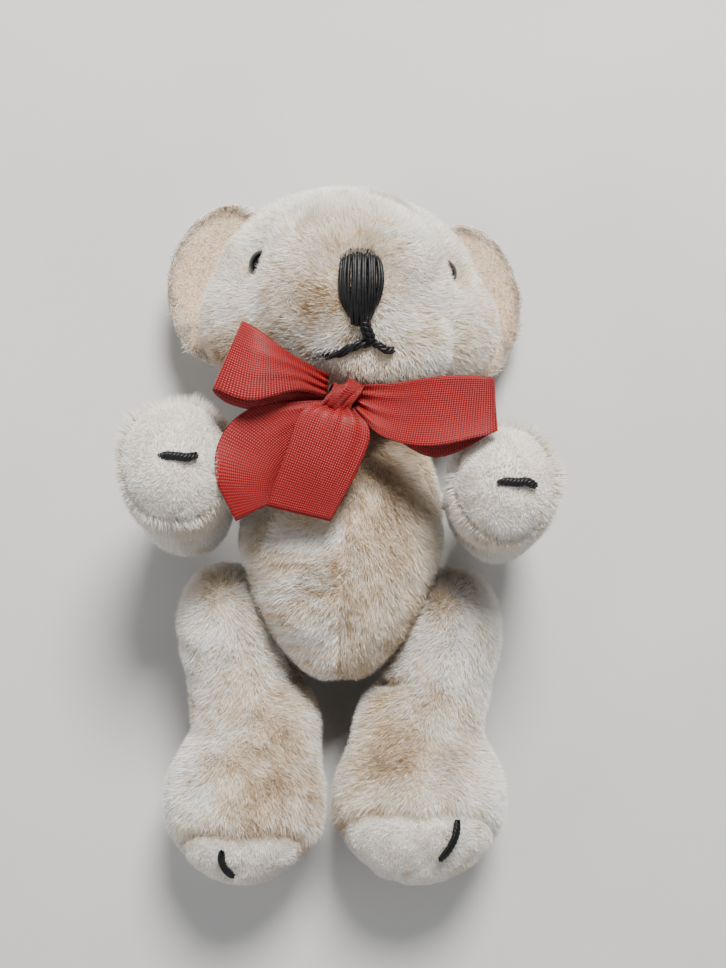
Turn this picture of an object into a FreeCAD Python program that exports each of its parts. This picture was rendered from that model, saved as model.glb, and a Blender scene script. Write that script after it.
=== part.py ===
import FreeCAD, Part
import math
import os

import Sketcher

# A small disc-jointed plush bear, lying on its back. +Y runs up to the head, +Z out of the belly,
# +X to the viewer's right. The origin is on the floor under the middle of the bear. Millimetres.
# "left" and "right" are the viewer's, facing the belly.

SIZES = {
    # covers and stuffing
    "cover": 1.2,
    "stuffing_gap": 0.05,
    "fabric_hole": 1.6,
    # slab that parts one panel from the next, larger than any limb
    "slab": 60.0,
    # torso, turned about an axis along Y
    "axis_up": 14.5,
    "torso_radius": 14.5,
    "torso_widest": 1.0,
    "torso_top": 20.0,
    "torso_bottom": -18.8,
    "neck_radius": 7.5,
    "hip_line": -13.4,
    "hip_line_radius": 9.8,
    "seat_arc": 10.2,
    # head
    "skull_along": 34.7,
    "skull_up": 15.0,
    "skull_half_width": 20.5,
    "skull_half_length": 13.7,
    "muzzle_along": 34.2,
    "muzzle_up": 22.0,
    "muzzle_half_width": 14.5,
    "muzzle_half_length": 13.0,
    "muzzle_depth": 17.0,
    "gusset_half_width": 6.0,
    # ears
    "ear_out": 17.8,
    "ear_along": 36.4,
    "ear_up": 9.6,
    "ear_radius": 11.0,
    "ear_thickness": 3.6,
    "ear_splay": 24.0,
    # eyes, nose and mouth
    "eye_out": 12.9,
    "eye_along": 38.2,
    "eye_up": 26.3,
    "eye_radius": 1.9,
    "eye_shank_radius": 0.6,
    "eye_shank": 5.2,
    "eye_washer_radius": 2.4,
    "eye_washer_thickness": 0.7,
    "nose_half_width": 2.9,
    "nose_half_height": 4.4,
    "nose_up": 38.4,
    "mouth_along": 26.6,
    "mouth_half_width": 4.0,
    "thread_radius": 0.55,
    "nose_bulk": 1.5,
    "mouth_up": 35.77,
    "lip_line_length": 2.6,
    "paw_claw_half_length": 2.4,
    "foot_claw_half_length": 2.6,
    # arms, pointing up from the shoulder joint
    "shoulder_along": 6.4,
    "shoulder_up": 15.0,
    "arm_out": 21.6,
    "arm_half_width": 6.5,
    "arm_half_depth": 8.0,
    "arm_half_length": 10.0,
    "paw_half_width": 6.7,
    "paw_half_depth": 8.3,
    "paw_half_length": 9.5,
    "paw_reach": 14.5,
    "pad_reach": 18.0,
    "left_arm_lean": 11.0,
    "right_arm_lean": 6.0,
    # legs, lying toward -Y from the hip joint
    "hip_along": -11.2,
    "hip_up": 12.5,
    "thigh_out": 18.7,
    "thigh_half_width": 5.2,
    "thigh_radius": 8.4,
    "thigh_rounding": 4.4,
    "shin_out": 16.4,
    "shin_radius": 6.0,
    "shin_rounding": 4.0,
    "shin_top": -3.0,
    "shin_up": 10.0,
    "foot_out": 12.6,
    "foot_radius": 11.8,
    "foot_reach": 25.5,
    "sole_edge_reach": 3.6,
    "sole_edge_up": 0.5,
    # disc joints
    "stem_radius": 1.2,
    "washer_bore": 1.25,
    "disc_thickness": 1.2,
    "washer_thickness": 1.0,
    "nut_thickness": 1.9,
    "nut_radius": 2.2,
    "shoulder_disc_radius": 4.5,
    "shoulder_disc_out": 19.1,
    "shoulder_washer_out": 10.2,
    "hip_disc_radius": 4.0,
    "hip_disc_out": 16.3,
    "hip_washer_radius": 3.0,
    "hip_washer_out": 6.0,
    "neck_disc_out": 24.5,
    "neck_washer_radius": 4.5,
    "neck_washer_out": 17.4,
    # ribbon, 10 mm wide
    "ribbon": 10.0,
    "ribbon_ply": 0.6,
    "collar_low": 16.6,
    "collar_high": 20.4,
    "collar_low_radius": 10.9,
    "collar_high_radius": 8.3,
    "knot_along": 19.8,
    "knot_up": 31.6,
    "knot_width": 5.6,
    "knot_length": 6.4,
    "knot_depth": 3.4,
    "loop_depth": 3.2,
    "loop_root": 4.4,
    # hanging tab and split ring, folded flat behind the neck
    "tab_along": 24.6,
    "tab_width": 3.6,
    "tab_bore": 1.45,
    "tab_ply": 0.45,
    "ring_radius": 7.0,
    "wire_width": 1.2,
    "wire_height": 0.8,
    "turn_slot": 0.1,
    "turn_slot_depth": 0.8,
    "wire_end_gap": 0.6,
}

SIDES = (("left", -1), ("right", 1))
PARTS = []

doc = FreeCAD.newDocument("jointed_bear")
sheet = doc.addObject("Spreadsheet::Sheet", "Sizes")
for row, (alias, value) in enumerate(SIZES.items(), start=1):
    sheet.set(f"A{row}", alias)
    sheet.set(f"B{row}", str(value))
    sheet.setAlias(f"B{row}", alias)
doc.recompute()


# --- helpers -----------------------------------------------------------------------------------

def in_sheet(expression):
    """The expression with each alias written as a reference to the sheet."""
    words = []
    word = ""
    for letter in str(expression) + " ":
        if letter.isalnum() or letter in "_.":
            word += letter
            continue
        words.append("Sizes." + word if word in SIZES else word)
        words.append(letter)
        word = ""
    return "".join(words).strip()


def value_of(expression):
    """The expression's number now, for first sketch positions and directions."""
    result = sheet.evalExpression(str(expression))
    return float(getattr(result, "Value", result))


def bind(feature, **expressions):
    for name, expression in expressions.items():
        feature.setExpression(name, in_sheet(expression))
    return feature


def place(feature, x=0, y=0, z=0, axis=None, angle=0):
    """Sets the feature's Placement, its position and its turn bound to the sheet."""
    if axis is not None:
        turn = FreeCAD.Rotation(FreeCAD.Vector(*axis), value_of(angle))
        feature.Placement = FreeCAD.Placement(FreeCAD.Vector(), turn)
        if not str(angle).lstrip("-").replace(".", "").isdigit():
            feature.setExpression("Placement.Rotation.Angle", in_sheet(angle))
    feature.setExpression("Placement.Base.x", in_sheet(x))
    feature.setExpression("Placement.Base.y", in_sheet(y))
    feature.setExpression("Placement.Base.z", in_sheet(z))
    return feature


def keep(feature, label):
    """Marks a finished sub-part, named by its label."""
    feature.Label = label
    PARTS.append(feature)
    return feature


def ellipsoid(name, centre, radii):
    """A full ellipsoid with its half sizes along X, Y and Z."""
    solid = doc.addObject("Part::Ellipsoid", name)
    solid.Angle1 = -90
    solid.Angle2 = 90
    bind(solid, Radius2=radii[0], Radius3=radii[1], Radius1=radii[2])
    return place(solid, *centre)


def rod(name, start, length, radius, axis=(0, 0, 1), angle=0):
    """A plain cylinder from start, along Z before it is turned."""
    solid = doc.addObject("Part::Cylinder", name)
    bind(solid, Height=length, Radius=radius)
    return place(solid, *start, axis=axis, angle=angle)


def rod_across(name, from_x, to_x, y, z, radius):
    """A cylinder along X between two stations."""
    return rod(name, (from_x, y, z), f"({to_x}) - ({from_x})", radius, (0, 1, 0), 90)


def block(name, corner, sizes):
    solid = doc.addObject("Part::Box", name)
    bind(solid, Length=sizes[0], Width=sizes[1], Height=sizes[2])
    return place(solid, *corner)


def fuse(name, shapes):
    joined = doc.addObject("Part::MultiFuse", name)
    joined.Shapes = shapes
    return joined


def cut(name, base, tools):
    """base less every tool."""
    result = doc.addObject("Part::Cut", name)
    result.Base = base
    result.Tool = tools[0] if len(tools) == 1 else fuse(name + "_tools", tools)
    return result


def common(name, base, tool):
    result = doc.addObject("Part::Common", name)
    result.Base = base
    result.Tool = tool
    return result


def less(radius, *walls):
    """A half size with wall thicknesses taken off it."""
    return " - ".join([f"({radius})", *walls])


def origin_plane(body, role):
    for feature in body.Origin.OriginFeatures:
        if feature.Role == role:
            return feature
    raise RuntimeError(role + " is missing")


def sketch_on(body, role, name):
    sketch = body.newObject("Sketcher::SketchObject", name)
    sketch.AttachmentSupport = [(origin_plane(body, role), "")]
    sketch.MapMode = "FlatFace"
    return sketch


def arc_between(start, end, radius):
    """An arc that bulges to the right of the way from start to end; a negative radius, to the left."""
    way = end - start
    half = way.Length / 2
    sagitta = abs(radius) - math.sqrt(radius * radius - half * half)
    right = FreeCAD.Vector(way.y, -way.x, 0).normalize()
    middle = (start + end) / 2 + right * math.copysign(sagitta, radius)
    return Part.Arc(start, middle, end)


def closed_outline(sketch, corners, arcs=None):
    """A closed chain through (u, v) corners; arcs gives the signed radius of the edges that are round."""
    arcs = arcs or {}
    points = [FreeCAD.Vector(value_of(u), value_of(v), 0) for u, v in corners]
    ends = []
    for number, start in enumerate(points):
        end = points[(number + 1) % len(points)]
        if number in arcs:
            edge = arc_between(start, end, value_of(arcs[number]))
        else:
            edge = Part.LineSegment(start, end)
        index = sketch.addGeometry(edge, False)
        first = 1 if (sketch.getPoint(index, 1) - start).Length < 1e-6 else 2
        ends.append((index, first, 3 - first))
    for number, (index, first, last) in enumerate(ends):
        following, following_first, _ = ends[(number + 1) % len(ends)]
        sketch.addConstraint(Sketcher.Constraint("Coincident", index, last, following, following_first))
        for kind, position in zip(("DistanceX", "DistanceY"), corners[number]):
            rule = Sketcher.Constraint(kind, -1, 1, index, first, value_of(position))
            rule_number = sketch.addConstraint(rule)
            sketch.setExpression(f"Constraints[{rule_number}]", in_sheet(position))
        if number in arcs:
            size = f"abs({arcs[number]})"
            rule_number = sketch.addConstraint(Sketcher.Constraint("Radius", index, value_of(size)))
            sketch.setExpression(f"Constraints[{rule_number}]", in_sheet(size))


def turned(name, corners, arcs=None, angle=360, other_way=False):
    """A body turned about its own Y: corners are (station along the axis, distance from it)."""
    body = doc.addObject("PartDesign::Body", name)
    sketch = sketch_on(body, "YZ_Plane", name + "_outline")
    closed_outline(sketch, corners, arcs)
    revolution = body.newObject("PartDesign::Revolution", name + "_turned")
    revolution.Profile = sketch
    revolution.ReferenceAxis = (sketch, ["H_Axis"])
    revolution.Angle = angle
    revolution.Reversed = other_way
    return body


def disc(name, radius, thickness, bore=None):
    """A flat disc or washer padded along its own Z."""
    body = doc.addObject("PartDesign::Body", name)
    sketch = sketch_on(body, "XY_Plane", name + "_outline")
    for size in filter(None, (radius, bore)):
        circle = Part.Circle(FreeCAD.Vector(), FreeCAD.Vector(0, 0, 1), value_of(size))
        index = sketch.addGeometry(circle, False)
        sketch.addConstraint(Sketcher.Constraint("Coincident", index, 3, -1, 1))
        rule_number = sketch.addConstraint(Sketcher.Constraint("Radius", index, value_of(size)))
        sketch.setExpression(f"Constraints[{rule_number}]", in_sheet(size))
    pad = body.newObject("PartDesign::Pad", name + "_pad")
    pad.Profile = sketch
    bind(pad, Length=thickness)
    return body


def joint_disc(name, inner, outer, radius):
    """The disc on the limb's side with its stem: stations run from the stem's end to the disc's back."""
    shoulder = f"{outer} - disc_thickness"
    corners = [(inner, 0), (outer, 0), (outer, radius), (shoulder, radius), (shoulder, "stem_radius"),
               (inner, "stem_radius")]
    return turned(name, corners)


def lock_nut(name, start):
    """The push nut on the stem, its far face chamfered."""
    end = f"{start} + nut_thickness"
    rim = "nut_radius - 0.4"
    corners = [(start, "stem_radius"), (end, "stem_radius"), (end, "nut_radius"),
               (f"{start} + 0.5", "nut_radius"), (start, rim)]
    return turned(name, corners)


# --- torso ---------------------------------------------------------------------------------------

def tangent_radius(run, rise):
    """Radius of the arc that leaves the widest station along the axis and falls by rise over run."""
    return f"(({run})^2 + ({rise})^2) / (2 * ({rise}))"


def torso_section(wall):
    """The torso's skin moved in by wall: its corners from the seat to the neck, and its arcs' radii."""
    widest = f"torso_radius - {wall}"
    seat = ("torso_bottom + " + wall, 0)
    hips = (f"hip_line + 0.6 * {wall}", f"hip_line_radius - 0.8 * {wall}")
    waist = ("torso_widest", widest)
    neck = (f"torso_top - {wall}", f"neck_radius - {wall}")
    arcs = [f"seat_arc - {wall}",
            tangent_radius(f"{hips[0]} - torso_widest", f"{widest} - ({hips[1]})"),
            tangent_radius(f"{neck[0]} - torso_widest", f"{widest} - ({neck[1]})")]
    return [seat, hips, waist, neck], arcs


def stem_bores(side, sign):
    """Cylinders that clear the shoulder and hip stems through one half cover."""
    low = f"{min(sign, 0)} * torso_radius"
    high = f"{max(sign, 0)} * torso_radius"
    return [rod_across(f"{part}_stem_bore_{side}", low, high, f"{part}_along", f"{part}_up", "fabric_hole")
            for part in ("shoulder", "hip")]


def torso_covers():
    """Two half covers sewn along the centre seams, front and back."""
    outer, outer_arcs = torso_section("0")
    inner, inner_arcs = torso_section("cover")
    hole = [(inner[-1][0], "fabric_hole"), (outer[-1][0], "fabric_hole")]
    corners = [outer[0], *inner, *hole, *reversed(outer[1:])]
    arcs = {number: f"-({radius})" for number, radius in enumerate(inner_arcs, start=1)}
    arcs.update({number: radius for number, radius in enumerate(reversed(outer_arcs), start=7)})
    for side, sign in SIDES:
        half = turned(f"torso_half_{side}", corners, arcs, angle=180, other_way=sign < 0)
        place(half, z="axis_up")
        keep(place(cut(f"torso_cover_{side}_cut", half, stem_bores(side, sign))), f"torso_cover_{side}")


def torso_stuffing():
    """Fibre filling, hollowed where the washers and nuts of the joints sit."""
    corners, arcs = torso_section("(cover + stuffing_gap)")
    corners = [corners[0], (corners[-1][0], 0), *reversed(corners[1:])]
    filling = turned("torso_filling", corners, dict(enumerate(reversed(arcs), start=2)))
    place(filling, z="axis_up")
    hollows = [
        rod_across("shoulder_hollow", "-(torso_radius)", "torso_radius", "shoulder_along",
                   "shoulder_up", "shoulder_disc_radius + 0.6"),
        rod_across("hip_hollow", "-(torso_radius)", "torso_radius", "hip_along", "hip_up",
                   "hip_washer_radius + 0.4"),
        rod("neck_hollow", (0, "torso_top", "axis_up"), "torso_top - shoulder_along",
            "neck_washer_radius + 0.5", (1, 0, 0), 90),
    ]
    keep(place(cut("torso_filling_cut", filling, hollows)), "torso_stuffing")


# --- head ----------------------------------------------------------------------------------------

def head_form(name, *walls):
    """Skull and muzzle domes in one, moved in by the wall thicknesses."""
    skull = ellipsoid(name + "_skull", (0, "skull_along", "skull_up"),
                      [less(size, *walls) for size in
                       ("skull_half_width", "skull_half_length", "skull_up")])
    muzzle = ellipsoid(name + "_muzzle", (0, "muzzle_along", "muzzle_up"),
                       [less(size, *walls) for size in
                        ("muzzle_half_width", "muzzle_half_length", "muzzle_depth")])
    return fuse(name, [skull, muzzle])


def eye_turn(sign):
    """Turns a body's Y onto the eye's outward direction."""
    outward = FreeCAD.Vector(0.62 * sign, 0.22, 0.75)
    return FreeCAD.Rotation(FreeCAD.Vector(0, 1, 0), outward)


def set_eye_placement(body, sign):
    turn = eye_turn(sign)
    body.Placement = FreeCAD.Placement(FreeCAD.Vector(), turn)
    return place(body, f"{sign} * eye_out", "eye_along", "eye_up")


def eyes():
    """Bead eyes on shanks, each held by a washer inside the head. Returns what the cloth must clear."""
    clearances = []
    for side, sign in SIDES:
        front = "eye_radius"
        back = "-(eye_radius * 0.8)"
        edge = "eye_radius * 0.6"
        corners = [("-(eye_shank)", 0), (front, 0), (back, edge), (back, "eye_shank_radius"),
                   ("-(eye_shank)", "eye_shank_radius")]
        bead = turned(f"eye_bead_{side}", corners, {1: "eye_radius"})
        keep(set_eye_placement(bead, sign), f"eye_{side}")
        end = "-(eye_shank) + 0.3"
        start = f"{end} + eye_washer_thickness"
        ring = [(end, "eye_shank_radius"), (start, "eye_shank_radius"), (start, "eye_washer_radius"),
                (end, "eye_washer_radius")]
        washer = turned(f"eye_back_{side}", ring)
        keep(set_eye_placement(washer, sign), f"eye_washer_{side}")
        around = "eye_radius + 0.1"
        behind = "-(eye_shank + 0.3)"
        pocket = [(behind, 0), (around, 0), (around, around), (f"-({around})", around),
                  (f"-({around})", "eye_washer_radius + 0.2"), (behind, "eye_washer_radius + 0.2")]
        clearance = turned(f"eye_pocket_{side}", pocket)
        clearances.append(set_eye_placement(clearance, sign))
    return clearances


def head():
    """Head cover in a centre gusset and two side panels, stuffing, ears and face."""
    outer = head_form("head_outer")
    inner = head_form("head_inner", "cover")
    filling = head_form("head_filling", "cover", "stuffing_gap")
    pockets = eyes()
    neck_bore = rod("neck_bore", (0, "neck_disc_out", "axis_up"), "neck_disc_out - torso_top + 1",
                    "fabric_hole", (1, 0, 0), 90)
    shell = cut("head_shell", outer, [inner, neck_bore, *pockets])
    reach = "2 * skull_half_width"
    middle = block("gusset_slab", ("-(gusset_half_width)", 0, 0), ("2 * gusset_half_width", "slab", "slab"))
    keep(place(common("head_gusset_cut", shell, middle)), "head_gusset")
    for side, sign in SIDES:
        corner = "gusset_half_width" if sign > 0 else f"-(gusset_half_width) - {reach}"
        slab = block(f"side_slab_{side}", (corner, 0, 0), (reach, "slab", "slab"))
        keep(place(common(f"head_side_{side}_cut", shell, slab)), f"head_side_{side}")
    disc_hollow = rod("neck_disc_hollow", (0, "neck_disc_out + 0.4", "axis_up"), 6,
                      "shoulder_disc_radius + 0.4", (1, 0, 0), 90)
    keep(place(cut("head_filling_cut", filling, [disc_hollow, *pockets])), "head_stuffing")
    ears(outer)
    nose_and_mouth(outer)
    return outer


def ears(head_outer):
    """Round ears of two panels, plush behind and smooth lining in front."""
    for side, sign in SIDES:
        disc_form = ellipsoid(f"ear_form_{side}", (0, 0, 0),
                              ("ear_radius", "ear_radius", "ear_thickness / 2"))
        back_slab = block(f"ear_back_slab_{side}", ["-(slab) / 2"] * 3, ("slab", "slab", "slab / 2"))
        halves = (("ear_back", common(f"ear_back_form_{side}", disc_form, back_slab)),
                  ("ear_lining", cut(f"ear_lining_form_{side}", disc_form, [back_slab])))
        for panel, half in halves:
            place(half, f"{sign} * ear_out", "ear_along", "ear_up", (0, 1, 0), f"{sign} * ear_splay")
            keep(place(cut(f"{panel}_{side}_cut", half, [head_outer])), f"{panel}_{side}")


def nose_and_mouth(head_outer):
    """Satin-stitched nose pad and an inverted Y of thread under it."""
    pad = ellipsoid("nose_form", (0, "muzzle_along - 0.8", "nose_up"),
                    ("nose_half_width", "nose_half_height", "nose_bulk"))
    keep(place(cut("nose_cut", pad, [head_outer])), "nose_stitching")
    line = rod("lip_line", (0, "mouth_along + 1.9", "mouth_up + 1.19"), "lip_line_length",
               "thread_radius", (1, 0, 0), 122)
    arms = []
    for side, sign in SIDES:
        arm = rod(f"lip_{side}", (0, 0, 0), "mouth_half_width + 0.6", "thread_radius")
        turn = FreeCAD.Rotation(FreeCAD.Vector(0, 0, 1), FreeCAD.Vector(sign, -0.25, -0.16))
        arm.Placement = FreeCAD.Placement(FreeCAD.Vector(), turn)
        arms.append(place(arm, 0, "mouth_along", "mouth_up"))
    thread = fuse("mouth_form", [line, *arms])
    keep(place(cut("mouth_cut", thread, [head_outer])), "mouth_stitching")


# --- disc joints ---------------------------------------------------------------------------------

def across(body, sign, y, z):
    """Puts a turned body's own Y along X, outward on its side."""
    turn = FreeCAD.Rotation(FreeCAD.Vector(0, 0, 1), -90 * sign)
    body.Placement = FreeCAD.Placement(FreeCAD.Vector(), turn)
    return place(body, 0, y, z)


def washer_across(label, sign, out, y, z, radius):
    body = disc(label + "_form", radius, "washer_thickness", "washer_bore")
    start = out if sign > 0 else f"-({out}) - washer_thickness"
    keep(place(body, start, y, z, (0, 1, 0), 90), label)


def limb_joint(part, side, sign, y, z, washer_radius):
    """Disc in the limb, washer in the torso and nut on the stem's end."""
    washer_out = f"{part}_washer_out"
    nut_start = f"{washer_out} - 0.1 - nut_thickness"
    plate = joint_disc(f"{part}_disc_form_{side}", f"{nut_start} - 0.4", f"{part}_disc_out",
                       f"{part}_disc_radius")
    keep(across(plate, sign, y, z), f"{part}_disc_{side}")
    washer_across(f"{part}_washer_{side}", sign, washer_out, y, z, washer_radius)
    nut = lock_nut(f"{part}_nut_form_{side}", nut_start)
    keep(across(nut, sign, y, z), f"{part}_nut_{side}")


def neck_joint():
    nut_start = "neck_washer_out - 0.1 - nut_thickness"
    plate = joint_disc("neck_disc_form", f"{nut_start} - 0.4", "neck_disc_out", "shoulder_disc_radius")
    keep(place(plate, z="axis_up"), "neck_disc")
    washer = disc("neck_washer_form", "neck_washer_radius", "washer_thickness", "washer_bore")
    keep(place(washer, 0, "neck_washer_out + washer_thickness", "axis_up", (1, 0, 0), 90), "neck_washer")
    keep(place(lock_nut("neck_nut_form", nut_start), z="axis_up"), "neck_nut")


# --- limbs, each built on the left and mirrored for the right ------------------------------------

def mirrored(feature):
    twin = doc.addObject("Part::Mirroring", feature.Name + "_mirrored")
    twin.Source = feature
    twin.Normal = FreeCAD.Vector(1, 0, 0)
    return twin


def joint_hollow(name, part):
    """The space for the joint's disc inside the limb's filling."""
    return rod_across(name, f"-({part}_disc_out) - 0.3", "-(torso_radius) / 2", 0, 0,
                      f"{part}_disc_radius + 0.3")


def arm_form(name, *walls):
    """Upper arm and paw in one, along Z from the shoulder."""
    upper = ellipsoid(name + "_upper", ("-(arm_out)", 0, 1.5),
                      [less(size, *walls) for size in
                       ("arm_half_width", "arm_half_depth", "arm_half_length")])
    paw = ellipsoid(name + "_paw", ("-(arm_out) - 0.2", 0, "paw_reach"),
                    [less(size, *walls) for size in
                     ("paw_half_width", "paw_half_depth", "paw_half_length")])
    return fuse(name, [upper, paw])


def arm_pieces(side):
    """Arm cover, paw pad, stuffing and claw stitch."""
    outer = arm_form(f"arm_outer_{side}")
    inner = arm_form(f"arm_inner_{side}", "cover")
    filling = arm_form(f"arm_filling_{side}", "cover", "stuffing_gap")
    bore = rod_across(f"arm_bore_{side}", "-(arm_out)", 0, 0, 0, "fabric_hole")
    shell = cut(f"arm_shell_{side}", outer, [inner, bore])
    pad_slab = block(f"pad_slab_{side}", ("-(slab)", "-(slab) / 2", "pad_reach"),
                     ("2 * slab", "slab", "slab"))
    stitch = ellipsoid(f"paw_stitch_{side}", ("-(arm_out) + 0.2", 0, "paw_reach + paw_half_length - 0.3"),
                       ("paw_claw_half_length", "thread_radius", 1.0))
    hollow = joint_hollow(f"arm_hollow_{side}", "shoulder")
    return {
        f"arm_cover_{side}": cut(f"arm_cover_cut_{side}", shell, [pad_slab]),
        f"paw_pad_{side}": common(f"paw_pad_cut_{side}", shell, pad_slab),
        f"arm_stuffing_{side}": cut(f"arm_filling_cut_{side}", filling, [hollow]),
        f"paw_claw_{side}": cut(f"paw_claw_cut_{side}", stitch, [outer]),
    }


def pill(name, low, high, radius, rounding):
    """A turned body with round shoulders at both ends, along its own Y."""
    corners = [(low, 0), (high, 0), (high, f"{radius} - {rounding}"), (f"{high} - {rounding}", radius),
               (f"{low} + {rounding}", radius), (low, f"{radius} - {rounding}")]
    return turned(name, corners, {2: rounding, 4: rounding})


def leg_form(name, wall):
    """Thigh, shin and foot in one, toward -Y from the hip, moved in by wall."""
    thigh = pill(name + "_thigh", f"(thigh_out - thigh_half_width + {wall})",
                 f"(thigh_out + thigh_half_width - {wall})", f"(thigh_radius - {wall})",
                 f"(thigh_rounding - {wall})")
    across(thigh, -1, 0, 0)
    shin = pill(name + "_shin", "-(foot_reach)", f"(shin_top - {wall})", f"(shin_radius - {wall})",
                f"(shin_rounding - {wall})")
    place(shin, "-(shin_out)", 0, "shin_up - hip_up")
    foot = doc.addObject("Part::Sphere", name + "_foot")
    bind(foot, Radius=f"foot_radius - {wall}")
    place(foot, "-(foot_out)", "-(foot_reach)", "foot_radius - hip_up")
    return fuse(name, [thigh, shin, foot])


def leg_pieces(side):
    """Leg cover, sole pad, stuffing and claw stitch."""
    outer = leg_form(f"leg_outer_{side}", "0")
    inner = leg_form(f"leg_inner_{side}", "cover")
    filling = leg_form(f"leg_filling_{side}", "(cover + stuffing_gap)")
    bore = rod_across(f"leg_bore_{side}", "-(thigh_out)", 0, 0, 0, "fabric_hole")
    shell = cut(f"leg_shell_{side}", outer, [inner, bore])
    sole_slab = block(f"sole_slab_{side}", ("-(slab)", "-(foot_reach) - sole_edge_reach - slab",
                                            "foot_radius - hip_up + sole_edge_up"),
                      ("2 * slab", "slab", "slab"))
    stitch = ellipsoid(f"foot_stitch_{side}", (0, 0, 0), ("thread_radius", "foot_claw_half_length", 1.2))
    place(stitch, "-(foot_out) - 2", "-(foot_reach) - 0.78 * foot_radius",
          "foot_radius - hip_up + 0.62 * foot_radius", (1, 0, 0), 50)
    hollow = joint_hollow(f"leg_hollow_{side}", "hip")
    return {
        f"leg_cover_{side}": cut(f"leg_cover_cut_{side}", shell, [sole_slab]),
        f"sole_pad_{side}": common(f"sole_pad_cut_{side}", shell, sole_slab),
        f"leg_stuffing_{side}": cut(f"leg_filling_cut_{side}", filling, [hollow]),
        f"foot_claw_{side}": cut(f"foot_claw_cut_{side}", stitch, [outer]),
    }


def limb(pieces, side, y, z, lean):
    """Puts a limb's pieces on its joint, leaning toward the head."""
    for label, piece in pieces.items():
        own = mirrored(piece) if side == "right" else piece
        keep(place(own, 0, y, z, (1, 0, 0), f"-({lean})"), label)


# --- ribbon --------------------------------------------------------------------------------------

def taper(name, length, root, tip, depths, start, turn):
    """A flat tapered solid from start, along its own +Y: widths and depths at the root and the tip."""
    solid = doc.addObject("Part::Wedge", name)
    bind(solid, Ymin=0, Ymax=length, Xmin=f"-({root}) / 2", Xmax=f"({root}) / 2",
         Zmin=f"-({depths[0]}) / 2", Zmax=f"({depths[0]}) / 2", X2min=f"-({tip}) / 2",
         X2max=f"({tip}) / 2", Z2min=f"-({depths[1]}) / 2", Z2max=f"({depths[1]}) / 2")
    solid.Placement = FreeCAD.Placement(FreeCAD.Vector(), turn)
    return place(solid, *start)


def ribbon():
    """A collar round the neck and a bow of two loops and two tails on its knot."""
    collar = [("collar_low", "collar_low_radius - ribbon_ply"),
              ("collar_high", "collar_high_radius - ribbon_ply"),
              ("collar_high", "collar_high_radius"), ("collar_low", "collar_low_radius")]
    keep(place(turned("collar_form", collar), z="axis_up"), "ribbon_collar")
    knot = doc.addObject("PartDesign::Body", "knot_form")
    sketch = sketch_on(knot, "XY_Plane", "knot_outline")
    half_width = "knot_width / 2"
    half_length = "knot_length / 2"
    closed_outline(sketch, [(f"-({half_width})", f"-({half_length})"), (half_width, f"-({half_length})"),
                            (half_width, half_length), (f"-({half_width})", half_length)])
    pad = knot.newObject("PartDesign::Pad", "knot_pad")
    pad.Profile = sketch
    bind(pad, Length="knot_depth")
    doc.recompute()
    soften = knot.newObject("PartDesign::Fillet", "knot_round")
    soften.Base = (pad, [f"Edge{number + 1}" for number in range(len(pad.Shape.Edges))])
    soften.Radius = 1.2
    knot.Tip = soften
    keep(place(knot, 0, "knot_along", "knot_up - knot_depth / 2"), "bow_knot")

    def toward(x, y, z):
        """Own +Y onto the direction, the flat side kept as near to facing +Z as it can."""
        way = FreeCAD.Vector(x, y, z).normalize()
        flat = FreeCAD.Vector(0, 0, 1)
        return FreeCAD.Rotation(way.cross(flat), way, flat, "YXZ")

    root_out = f"{half_width} + 0.6"
    keep(taper("loop_left_form", 11.9, "loop_root", "ribbon", (2.4, "loop_depth"),
               (f"-({root_out})", "knot_along + 0.3", "knot_up + 1.4"), toward(-1, 0.2, 0.37)),
         "bow_loop_left")
    keep(taper("loop_right_form", 15.8, "loop_root", "ribbon - 1.4", (2.4, "loop_depth"),
               (root_out, "knot_along", "knot_up + 0.6"), toward(1, -0.03, 0.25)), "bow_loop_right")
    low_edge = f"knot_along - {half_length} - 0.15"
    tail_start = f"{low_edge} - 1.1"
    keep(taper("tail_left_form", 16.0, 2.6, "ribbon - 1", ("ribbon_ply", "ribbon_ply"),
               (-1.6, tail_start, "knot_up + 0.9"), toward(-0.62, -0.8, -0.02)), "bow_tail_left")
    keep(taper("tail_centre_form", 12.8, 3.4, "ribbon", ("ribbon_ply", "ribbon_ply"),
               (0.2, f"{low_edge} - 0.5", "knot_up - 0.8"), toward(-0.32, -1, -0.04)), "bow_tail_centre")


# --- hanging tab and split ring ------------------------------------------------------------------

def hanging_tab(head_outer):
    """A loop of woven tape sewn into the back of the head, round the ring's wire."""
    rim = "tab_bore + tab_ply"
    half = "tab_width / 2"
    eye = rod_across("tab_eye", f"-({half})", half, "tab_along", rim, rim)
    root = block("tab_root", (f"-({half})", "tab_along", rim), ("tab_width", 3.4, "tab_bore"))
    bore = rod_across("tab_bore_hole", "-(tab_width)", "tab_width", "tab_along", rim, "tab_bore")
    keep(place(cut("tab_cut", fuse("tab_form", [eye, root]), [bore, head_outer])), "hanging_tab")


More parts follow.
